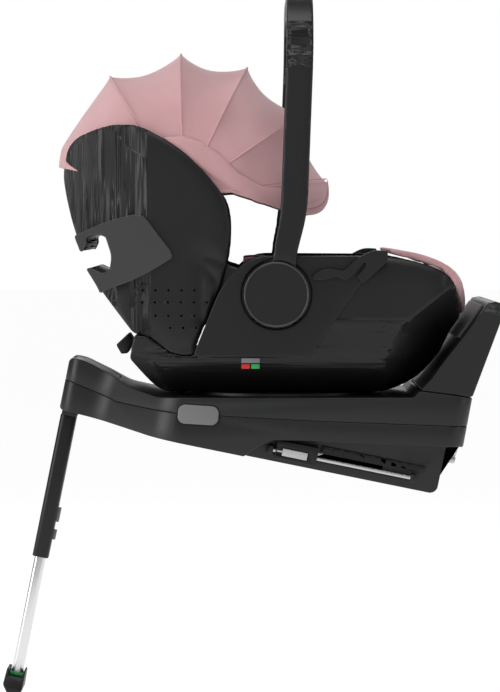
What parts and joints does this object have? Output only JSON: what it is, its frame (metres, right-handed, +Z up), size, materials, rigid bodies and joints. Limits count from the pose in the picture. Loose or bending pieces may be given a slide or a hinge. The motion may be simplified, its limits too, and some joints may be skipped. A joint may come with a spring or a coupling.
{
  "type": "infant car seat",
  "caption": "Rear-facing infant carrier with folding canopy and swing handle, on a rotating tilted base with lower anchors, rebound bar and support leg.",
  "frame": {"origin": "midway between the two lower anchor bars, on their axis", "axes": "+X the way the child faces, towards the vehicle backrest; +Z up; +Y across, to the child's left"},
  "size_m": [0.7634, 0.444, 1.0764],
  "materials": {
    "shell_black": "satin near-black moulded plastic",
    "base_black": "satin anthracite moulded plastic",
    "grey_plastic": "matt grey plastic",
    "rebound_grey": "ribbed dark grey rubber",
    "rose_fabric": "dusty rose woven cover",
    "foam_white": "expanded foam beads",
    "strap_black": "woven webbing",
    "steel": "zinc plated steel",
    "aluminium": "anodised aluminium tube",
    "red_plastic": "red buckle button",
    "green_plastic": "green indicator",
    "rubber_black": "moulded rubber",
    "light_plastic": "light grey slide"
  },
  "bodies": {
    "base": {"base_lower_shell": "base_black", "base_upper_shell": "base_black", "slewing_ring": "shell_black", "rebound_shell": "base_black", "rebound_pad": "rebound_grey", "anchor_racks": "shell_black", "anchor_rods": "steel", "base_screws": "steel", "leg_hinge_pin": "steel", "release_lever_pin": "steel"},
    "turntable": {"turntable_disc": "shell_black"},
    "carrier": {"seat_shell": "shell_black", "carrier_hooks": "shell_black", "handle_pins": "steel", "side_shields": "shell_black", "lap_belt_guides": "shell_black", "seat_foam": "foam_white", "seat_cushion": "rose_fabric", "seat_cover_edge": "rose_fabric", "crotch_strap": "strap_black", "buckle_body": "shell_black", "harness_adjuster": "steel"},
    "buckle_button": {"buckle_button": "red_plastic"},
    "recline_handle": {"recline_handle": "shell_black"},
    "backrest": {"back_shell": "shell_black", "shoulder_belt_guides": "grey_plastic", "back_foam": "foam_white", "back_cushion": "rose_fabric", "canopy_rib_1": "shell_black", "canopy_fabric": "rose_fabric", "shoulder_straps": "strap_black", "shoulder_pads": "rose_fabric"},
    "headrest": {"headrest_frame": "shell_black", "headrest_pad": "rose_fabric"},
    "canopy_rib_2": {"canopy_rib_2": "shell_black"},
    "canopy_rib_3": {"canopy_rib_3": "shell_black"},
    "canopy_rib_4": {"canopy_rib_4": "shell_black"},
    "canopy_bow": {"canopy_bow": "shell_black"},
    "handle": {"handle_bar": "shell_black", "handle_hub_covers": "shell_black"},
    "handle_button_left": {"handle_button_left": "grey_plastic"},
    "handle_button_right": {"handle_button_right": "grey_plastic"},
    "rotation_button_left": {"rotation_button_left": "grey_plastic"},
    "rotation_button_right": {"rotation_button_right": "grey_plastic"},
    "release_lever": {"release_lever": "base_black"},
    "anchor_carriage": {"anchor_arms": "steel", "anchor_connectors": "steel", "anchor_carriages": "shell_black"},
    "anchor_latch_left": {"anchor_latch_left": "steel"},
    "anchor_latch_right": {"anchor_latch_right": "steel"},
    "anchor_release_left": {"anchor_release_left": "light_plastic"},
    "anchor_release_right": {"anchor_release_right": "light_plastic"},
    "leg": {"leg_knuckle": "shell_black", "leg_outer_tube": "shell_black"},
    "leg_button_upper": {"leg_button_upper": "grey_plastic"},
    "leg_button_lower": {"leg_button_lower": "grey_plastic"},
    "leg_lower": {"leg_inner_tube": "aluminium", "leg_foot": "shell_black", "foot_sole": "rubber_black", "foot_indicator": "green_plastic"}
  },
  "joints": [
    {"name": "turntable_spin", "type": "hinge", "parent": "base", "child": "turntable", "pos_m": [-0.25, 0, 0], "axis": [0, 0, 1], "range_deg": [-90, 90]},
    {"name": "carrier_lift_off", "type": "slide", "parent": "turntable", "child": "carrier", "axis": [0, 0, 1], "range_m": [0, 0.2]},
    {"name": "backrest_recline", "type": "hinge", "parent": "carrier", "child": "backrest", "pos_m": [-0.263, 0, 0.243], "axis": [0, 1, 0], "range_deg": [0, 12]},
    {"name": "headrest_height", "type": "slide", "parent": "backrest", "child": "headrest", "axis": [-0.4041, 0, 0.9147], "range_m": [0, 0.04]},
    {"name": "canopy_fold", "type": "hinge", "parent": "backrest", "child": "canopy_rib_2", "pos_m": [-0.4, 0, 0.392], "axis": [0, -1, 0], "range_deg": [0, 22], "deforming": ["canopy_fabric"]},
    {"name": "canopy_rib_3_fold", "type": "hinge", "parent": "canopy_rib_2", "child": "canopy_rib_3", "pos_m": [-0.4, 0, 0.392], "axis": [0, -1, 0], "range_deg": [0, 22]},
    {"name": "canopy_rib_4_fold", "type": "hinge", "parent": "canopy_rib_3", "child": "canopy_rib_4", "pos_m": [-0.4, 0, 0.392], "axis": [0, -1, 0], "range_deg": [0, 22]},
    {"name": "canopy_bow_fold", "type": "hinge", "parent": "canopy_rib_4", "child": "canopy_bow", "pos_m": [-0.4, 0, 0.392], "axis": [0, -1, 0], "range_deg": [0, 22]},
    {"name": "handle_turn", "type": "hinge", "parent": "carrier", "child": "handle", "pos_m": [-0.263, 0, 0.243], "axis": [0, 1, 0], "range_deg": [-105, 30]},
    {"name": "handle_button_left_press", "type": "slide", "parent": "handle", "child": "handle_button_left", "axis": [1, 0, 0], "range_m": [0, 0.003], "stiffness_N_per_m": 400, "springref_m": -0.002},
    {"name": "handle_button_right_press", "type": "slide", "parent": "handle", "child": "handle_button_right", "axis": [1, 0, 0], "range_m": [0, 0.003], "stiffness_N_per_m": 400, "springref_m": -0.002},
    {"name": "rotation_button_left_press", "type": "slide", "parent": "base", "child": "rotation_button_left", "axis": [0, -1, 0], "range_m": [0, 0.004], "stiffness_N_per_m": 400, "springref_m": -0.002},
    {"name": "rotation_button_right_press", "type": "slide", "parent": "base", "child": "rotation_button_right", "axis": [0, 1, 0], "range_m": [0, 0.004], "stiffness_N_per_m": 400, "springref_m": -0.002},
    {"name": "release_lever_lift", "type": "hinge", "parent": "base", "child": "release_lever", "pos_m": [-0.5067, 0, 0.10768], "axis": [0, 1, 0], "range_deg": [0, 20], "stiffness_Nm_per_rad": 0.3, "springref_deg": -17.19},
    {"name": "anchor_slide", "type": "slide", "parent": "base", "child": "anchor_carriage", "axis": [0.9799, 0, -0.1994], "range_m": [0, 0.1]},
    {"name": "anchor_release_left_pull", "type": "slide", "parent": "anchor_carriage", "child": "anchor_release_left", "axis": [-0.9799, 0, 0.1994], "range_m": [0, 0.008], "stiffness_N_per_m": 400, "springref_m": -0.002},
    {"name": "anchor_latch_left_turn", "type": "hinge", "parent": "anchor_carriage", "child": "anchor_latch_left", "pos_m": [-0.01678, 0.145, -0.00475], "axis": [0, 1, 0], "range_deg": [0, 36]},
    {"name": "anchor_release_right_pull", "type": "slide", "parent": "anchor_carriage", "child": "anchor_release_right", "axis": [-0.9799, 0, 0.1994], "range_m": [0, 0.008], "stiffness_N_per_m": 400, "springref_m": -0.002},
    {"name": "anchor_latch_right_turn", "type": "hinge", "parent": "anchor_carriage", "child": "anchor_latch_right", "pos_m": [-0.01678, -0.145, -0.00475], "axis": [0, 1, 0], "range_deg": [0, 36]},
    {"name": "leg_fold", "type": "hinge", "parent": "base", "child": "leg", "pos_m": [-0.5786, 0, 0.07282], "axis": [0, -1, 0], "range_deg": [0, 90]},
    {"name": "leg_length", "type": "slide", "parent": "leg", "child": "leg_lower", "axis": [-0.1994, 0, -0.9799], "range_m": [-0.14, 0.03]},
    {"name": "leg_button_upper_press", "type": "slide", "parent": "leg", "child": "leg_button_upper", "axis": [-0.9799, 0, 0.1994], "range_m": [0, 0.002], "stiffness_N_per_m": 400, "springref_m": -0.002},
    {"name": "leg_button_lower_press", "type": "slide", "parent": "leg", "child": "leg_button_lower", "axis": [-0.9799, 0, 0.1994], "range_m": [0, 0.002], "stiffness_N_per_m": 400, "springref_m": -0.002},
    {"name": "buckle_button_press", "type": "slide", "parent": "carrier", "child": "buckle_button", "axis": [-0.9703, 0, 0.2419], "range_m": [0, 0.002], "stiffness_N_per_m": 400, "springref_m": -0.002},
    {"name": "recline_handle_pull", "type": "slide", "parent": "carrier", "child": "recline_handle", "axis": [-1, 0, 0], "range_m": [0, 0.006], "stiffness_N_per_m": 400, "springref_m": -0.002}
  ],
  "couplings": [
    {"joint": "canopy_rib_3_fold", "follows": "canopy_fold", "ratio": 1},
    {"joint": "canopy_rib_4_fold", "follows": "canopy_fold", "ratio": 1},
    {"joint": "canopy_bow_fold", "follows": "canopy_fold", "ratio": 1},
    {"joint": "anchor_latch_left_turn", "follows": "anchor_release_left_pull", "rad_per_m": 76},
    {"joint": "anchor_latch_right_turn", "follows": "anchor_release_right_pull", "rad_per_m": 76}
  ]
}
